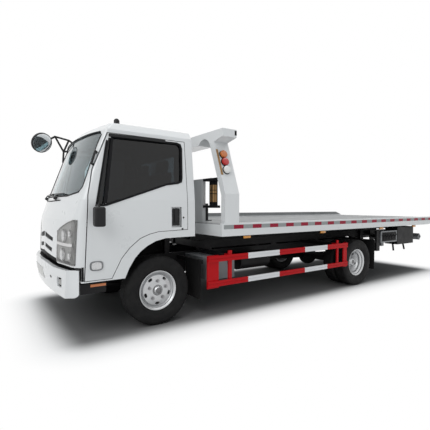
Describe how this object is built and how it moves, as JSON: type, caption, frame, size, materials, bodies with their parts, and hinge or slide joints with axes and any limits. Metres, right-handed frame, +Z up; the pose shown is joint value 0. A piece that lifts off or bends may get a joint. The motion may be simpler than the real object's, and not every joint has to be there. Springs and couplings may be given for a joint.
{
  "type": "flatbed tow truck",
  "caption": "Flatbed tow truck with a tipping forward-control cab, a sliding and tilting steel bed with a gantry, a winch and a rear underlift.",
  "frame": {"origin": "on the ground, under the middle of the truck's overall length and width", "axes": "+X forward along the truck, +Y to its left, +Z up"},
  "size_m": [7.3748, 2.33, 2.3503],
  "materials": {
    "white_paint": "gloss",
    "red_paint": "gloss",
    "black_paint": "satin",
    "deck_grey": "satin",
    "silver_steel": "satin",
    "bare_steel": "satin",
    "chrome_rod": "polished",
    "tyre_rubber": "matt",
    "flap_rubber": "matt",
    "clear_glass": "polished",
    "lamp_lens": "gloss",
    "signal_lens": "gloss",
    "black_plastic": "matt",
    "seat_fabric": "matt",
    "cast_iron": "matt",
    "bronze": "satin",
    "grey_plate": "satin"
  },
  "bodies": {
    "chassis": {"frame_rails": "black_paint", "cross_members": "black_paint", "frame_brackets": "black_paint", "front_axle": "cast_iron", "rear_axle": "cast_iron", "springs": "black_paint", "engine": "cast_iron", "bumper": "white_paint", "tanks": "black_paint", "side_boxes": "grey_plate", "exhaust": "bare_steel", "mud_flaps": "flap_rubber", "guard_posts": "red_paint", "guard_rails": "red_paint"},
    "cab": {"cab_shell": "white_paint", "front_panel": "white_paint", "headlamps": "lamp_lens", "cab_glass": "clear_glass", "dashboard": "black_plastic", "seats": "seat_fabric", "round_mirror": "black_plastic"},
    "steering_wheel": {"steering_wheel": "black_plastic"},
    "door_left": {"door_left": "white_paint", "door_glass_left": "clear_glass", "door_mirror_left": "black_plastic"},
    "door_right": {"door_right": "white_paint", "door_glass_right": "clear_glass", "door_mirror_right": "black_plastic"},
    "knuckle_left": {"knuckle_left": "cast_iron"},
    "knuckle_right": {"knuckle_right": "cast_iron"},
    "tie_rod": {"tie_rod": "bare_steel"},
    "front_wheel_left": {"front_tyre_left": "tyre_rubber", "front_rim_left": "silver_steel"},
    "front_wheel_right": {"front_tyre_right": "tyre_rubber", "front_rim_right": "silver_steel"},
    "rear_wheels_left": {"rear_tyres_left": "tyre_rubber", "rear_rims_left": "silver_steel"},
    "rear_wheels_right": {"rear_tyres_right": "tyre_rubber", "rear_rims_right": "silver_steel"},
    "tilt_frame": {"tilt_rails": "black_paint", "tilt_cross_members": "black_paint", "slide_barrel": "black_paint"},
    "tilt_barrels": {"tilt_barrels": "black_paint"},
    "tilt_rods": {"tilt_rods": "chrome_rod"},
    "bed": {"bed_beams": "black_paint", "bed_cross_members": "black_paint", "slide_rod": "chrome_rod", "side_rails": "white_paint", "bed_sills": "white_paint", "deck": "deck_grey", "gantry_posts": "white_paint", "gantry_beam": "white_paint", "gantry_lamps": "signal_lens", "front_wall": "white_paint", "winch_frame": "black_paint", "valve_block": "bronze"},
    "winch_drum": {"winch_drum": "bare_steel"},
    "underlift_boom": {"underlift_boom": "black_paint"},
    "underlift_extension": {"underlift_extension": "black_paint", "fork_bar": "grey_plate"}
  },
  "joints": [
    {"name": "cab_tilt", "type": "hinge", "parent": "chassis", "child": "cab", "pos_m": [3.5625, 0, 0.746], "axis": [0, 1, 0], "range_deg": [0, 45]},
    {"name": "door_left_open", "type": "hinge", "parent": "cab", "child": "door_left", "pos_m": [3.39345, 0.988, 1], "axis": [0.0476, 0, -0.9989], "range_deg": [0, 68]},
    {"name": "door_right_open", "type": "hinge", "parent": "cab", "child": "door_right", "pos_m": [3.39345, -0.988, 1], "axis": [-0.0476, 0, 0.9989], "range_deg": [0, 68]},
    {"name": "steer_left", "type": "hinge", "parent": "chassis", "child": "knuckle_left", "pos_m": [2.6125, 0.69, 0.3875], "axis": [0, 0, 1], "range_deg": [-33, 33]},
    {"name": "steer_right", "type": "hinge", "parent": "chassis", "child": "knuckle_right", "pos_m": [2.6125, -0.69, 0.3875], "axis": [0, 0, 1], "range_deg": [-33, 33]},
    {"name": "tie_rod_swing", "type": "hinge", "parent": "knuckle_left", "child": "tie_rod", "pos_m": [2.4325, 0.69, 0.277], "axis": [0, 0, 1], "range_deg": [-33, 33]},
    {"name": "steering_wheel_turn", "type": "hinge", "parent": "cab", "child": "steering_wheel", "pos_m": [3.0425, 0.465, 1.39], "axis": [-0.4978, 0, 0.8673], "range_deg": [-396, 396]},
    {"name": "front_wheel_left_spin", "type": "hinge", "parent": "knuckle_left", "child": "front_wheel_left", "pos_m": [2.6125, 0.84, 0.3875], "axis": [0, 1, 0], "continuous": true},
    {"name": "front_wheel_right_spin", "type": "hinge", "parent": "knuckle_right", "child": "front_wheel_right", "pos_m": [2.6125, -0.84, 0.3875], "axis": [0, 1, 0], "continuous": true},
    {"name": "rear_wheels_left_spin", "type": "hinge", "parent": "chassis", "child": "rear_wheels_left", "pos_m": [-1.0075, 0.865, 0.3875], "axis": [0, 1, 0], "continuous": true},
    {"name": "rear_wheels_right_spin", "type": "hinge", "parent": "chassis", "child": "rear_wheels_right", "pos_m": [-1.0075, -0.865, 0.3875], "axis": [0, 1, 0], "continuous": true},
    {"name": "bed_tilt", "type": "hinge", "parent": "chassis", "child": "tilt_frame", "pos_m": [-2.1375, 0, 0.8], "axis": [0, -1, 0], "range_deg": [0, 11]},
    {"name": "bed_slide", "type": "slide", "parent": "tilt_frame", "child": "bed", "axis": [-1, 0, 0], "range_m": [0, 3.2]},
    {"name": "tilt_barrels_swing", "type": "hinge", "parent": "chassis", "child": "tilt_barrels", "pos_m": [-1.5875, 0, 0.575], "axis": [0, -1, 0], "range_deg": [0, 14.92]},
    {"name": "tilt_rods_slide", "type": "slide", "parent": "tilt_barrels", "child": "tilt_rods", "axis": [0.9854, 0, 0.1705], "range_m": [0, 0.0734]},
    {"name": "winch_turn", "type": "hinge", "parent": "bed", "child": "winch_drum", "pos_m": [1.6125, 0, 1.265], "axis": [0, 1, 0], "continuous": true},
    {"name": "underlift_lower", "type": "hinge", "parent": "tilt_frame", "child": "underlift_boom", "pos_m": [-2.6375, 0, 0.69], "axis": [0, -1, 0], "range_deg": [0, 10]},
    {"name": "underlift_extend", "type": "slide", "parent": "underlift_boom", "child": "underlift_extension", "axis": [-1, 0, 0], "range_m": [0, 0.5]}
  ],
  "couplings": [
    {"joint": "steer_right", "follows": "steer_left", "ratio": 1},
    {"joint": "tie_rod_swing", "follows": "steer_left", "ratio": -1},
    {"joint": "steering_wheel_turn", "follows": "steer_left", "ratio": 12},
    {"joint": "tilt_barrels_swing", "follows": "bed_tilt", "ratio": 1.3382},
    {"joint": "tilt_rods_slide", "follows": "bed_tilt", "m_per_rad": 0.377}
  ]
}
